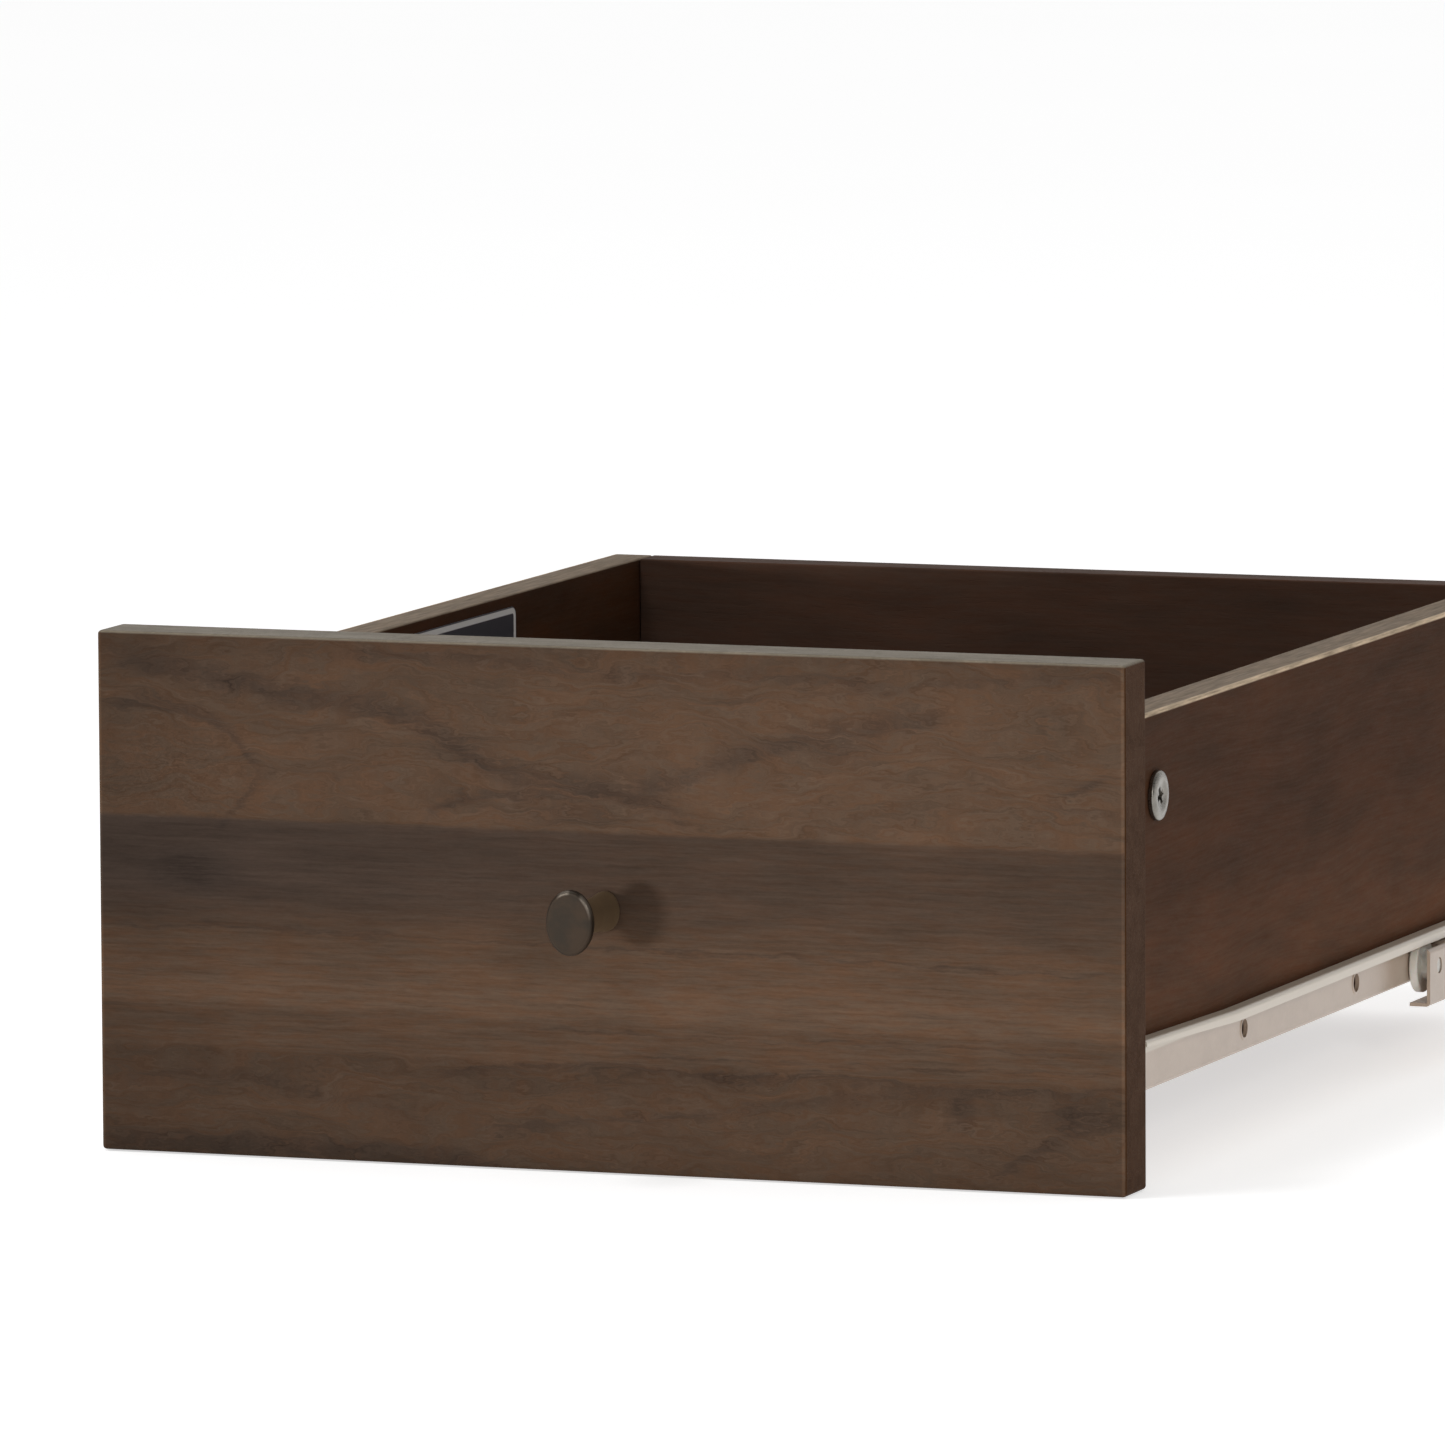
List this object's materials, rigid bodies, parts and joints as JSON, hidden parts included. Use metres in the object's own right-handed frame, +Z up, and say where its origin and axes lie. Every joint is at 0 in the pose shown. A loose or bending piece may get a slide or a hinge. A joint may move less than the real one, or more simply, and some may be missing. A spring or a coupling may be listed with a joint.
{
  "type": "under desk drawer",
  "caption": "Inset under desk drawer with a walnut-look front and a small knob, pulled open on slim roller runners",
  "frame": {"origin": "middle of the desk opening's front plane, level with the bottom edge of the shut drawer's front panel", "axes": "+X to the right seen from the front, +Y into the desk along the runners, +Z up; the drawer opens towards -Y"},
  "size_m": [0.306, 0.6428, 0.145],
  "materials": {
    "walnut_front": "walnut-look melamine board with a horizontal plank grain, satin",
    "walnut_box": "dark red-brown walnut-look melamine board, satin",
    "hardboard": "thin faced hardboard, matt",
    "cream_enamel": "cream epoxy-coated steel sheet",
    "zinc": "bright zinc-plated steel and die-cast zinc",
    "bronze": "dark bronze lacquered metal, satin",
    "beech": "plain beech, unfinished",
    "nylon": "off-white moulded nylon",
    "label_film": "dark printed film with a pale rounded border and no lettering"
  },
  "bodies": {
    "desk_runners": {"left_desk_runner": "cream_enamel", "left_front_rivet": "zinc", "right_desk_runner": "cream_enamel", "right_front_rivet": "zinc"},
    "drawer": {"front_panel": "walnut_front", "back_panel": "walnut_box", "bottom_panel": "hardboard", "knob": "bronze", "knob_screw": "zinc", "blank_label": "label_film", "left_side": "walnut_box", "left_cam": "zinc", "left_cam_bolt": "zinc", "left_dowel_1": "beech", "left_back_screw_1": "zinc", "left_dowel_2": "beech", "left_back_screw_2": "zinc", "left_runner_screw_1": "zinc", "left_runner_screw_2": "zinc", "left_runner_screw_3": "zinc", "left_drawer_runner": "cream_enamel", "left_rear_rivet": "zinc", "right_side": "walnut_box", "right_cam": "zinc", "right_cam_bolt": "zinc", "right_dowel_1": "beech", "right_back_screw_1": "zinc", "right_dowel_2": "beech", "right_back_screw_2": "zinc", "right_runner_screw_1": "zinc", "right_runner_screw_2": "zinc", "right_runner_screw_3": "zinc", "right_drawer_runner": "cream_enamel", "right_rear_rivet": "zinc"},
    "left_front_roller": {"left_front_roller": "nylon"},
    "left_rear_roller": {"left_rear_roller": "nylon"},
    "right_front_roller": {"right_front_roller": "nylon"},
    "right_rear_roller": {"right_rear_roller": "nylon"}
  },
  "joints": [
    {"name": "drawer_slide", "type": "slide", "parent": "desk_runners", "child": "drawer", "axis": [0, -1, 0], "range_m": [-0.244, 0.016]},
    {"name": "left_front_roller_spin", "type": "hinge", "parent": "desk_runners", "child": "left_front_roller", "pos_m": [-0.1461, 0.029, 0.0297], "axis": [1, 0, 0], "range_deg": [-1758, 125]},
    {"name": "left_rear_roller_spin", "type": "hinge", "parent": "drawer", "child": "left_rear_roller", "pos_m": [-0.1461, 0.1156, 0.02695], "axis": [1, 0, 0], "range_deg": [-2008, 141]},
    {"name": "right_front_roller_spin", "type": "hinge", "parent": "desk_runners", "child": "right_front_roller", "pos_m": [0.1461, 0.029, 0.0297], "axis": [1, 0, 0], "range_deg": [-1758, 125]},
    {"name": "right_rear_roller_spin", "type": "hinge", "parent": "drawer", "child": "right_rear_roller", "pos_m": [0.1461, 0.1156, 0.02695], "axis": [1, 0, 0], "range_deg": [-2008, 141]}
  ],
  "couplings": [
    {"joint": "left_front_roller_spin", "follows": "drawer_slide", "rad_per_m": 125},
    {"joint": "left_rear_roller_spin", "follows": "drawer_slide", "rad_per_m": 142.86},
    {"joint": "right_front_roller_spin", "follows": "drawer_slide", "rad_per_m": 125},
    {"joint": "right_rear_roller_spin", "follows": "drawer_slide", "rad_per_m": 142.86}
  ]
}
